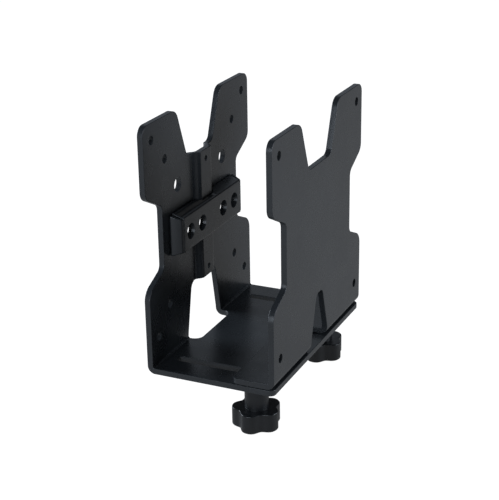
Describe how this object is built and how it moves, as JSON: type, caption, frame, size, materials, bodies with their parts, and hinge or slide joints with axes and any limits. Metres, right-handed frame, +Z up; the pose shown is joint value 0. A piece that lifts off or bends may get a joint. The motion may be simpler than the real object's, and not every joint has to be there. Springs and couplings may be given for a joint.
{
  "type": "cpu holder",
  "caption": "Folded steel tray that holds a mini desktop computer; one side slides to its width and star knobs under the floor clamp it.",
  "frame": {"origin": "centre of the square hole pattern, on the outer face of the fixed bracket's side plate", "axes": "+X across the tray from the fixed side plate to the sliding one, +Y from front to back, +Z up"},
  "size_m": [0.0677, 0.116, 0.1501],
  "materials": {
    "powder_coated_steel": "satin fine-texture black powder coat",
    "black_plastic": "moulded, satin",
    "black_nylon": "moulded, fine grain",
    "zinc_plated_steel": "zinc plated",
    "brass": "turned"
  },
  "bodies": {
    "fixed_side": {"fixed_bracket": "powder_coated_steel", "clamp_bar": "powder_coated_steel", "bar_end_cap_front": "black_plastic", "bar_end_cap_rear": "black_plastic"},
    "sliding_side": {"sliding_bracket": "powder_coated_steel", "clamp_stud_front": "zinc_plated_steel", "clamp_stud_rear": "zinc_plated_steel"},
    "washers_front": {"flat_washer_front": "zinc_plated_steel", "spring_washer_front": "zinc_plated_steel"},
    "knob_front": {"star_knob_front": "black_nylon", "knob_insert_front": "brass"},
    "washers_rear": {"flat_washer_rear": "zinc_plated_steel", "spring_washer_rear": "zinc_plated_steel"},
    "knob_rear": {"star_knob_rear": "black_nylon", "knob_insert_rear": "brass"}
  },
  "joints": [
    {"name": "width_slide", "type": "slide", "parent": "fixed_side", "child": "sliding_side", "axis": [1, 0, 0], "range_m": [-0.0395, 0.006]},
    {"name": "knob_drop_front", "type": "slide", "parent": "sliding_side", "child": "washers_front", "axis": [0, 0, -1], "range_m": [0, 0.00165]},
    {"name": "knob_turn_front", "type": "hinge", "parent": "washers_front", "child": "knob_front", "pos_m": [0.0517, -0.04275, -0.08], "axis": [0, 0, -1], "range_deg": [0, 720]},
    {"name": "knob_drop_rear", "type": "slide", "parent": "sliding_side", "child": "washers_rear", "axis": [0, 0, -1], "range_m": [0, 0.00165]},
    {"name": "knob_turn_rear", "type": "hinge", "parent": "washers_rear", "child": "knob_rear", "pos_m": [0.0517, 0.04275, -0.08], "axis": [0, 0, -1], "range_deg": [0, 720]}
  ],
  "couplings": [
    {"joint": "knob_drop_front", "follows": "knob_turn_front", "m_per_rad": 0.00012732},
    {"joint": "knob_drop_rear", "follows": "knob_turn_rear", "m_per_rad": 0.00012732}
  ]
}
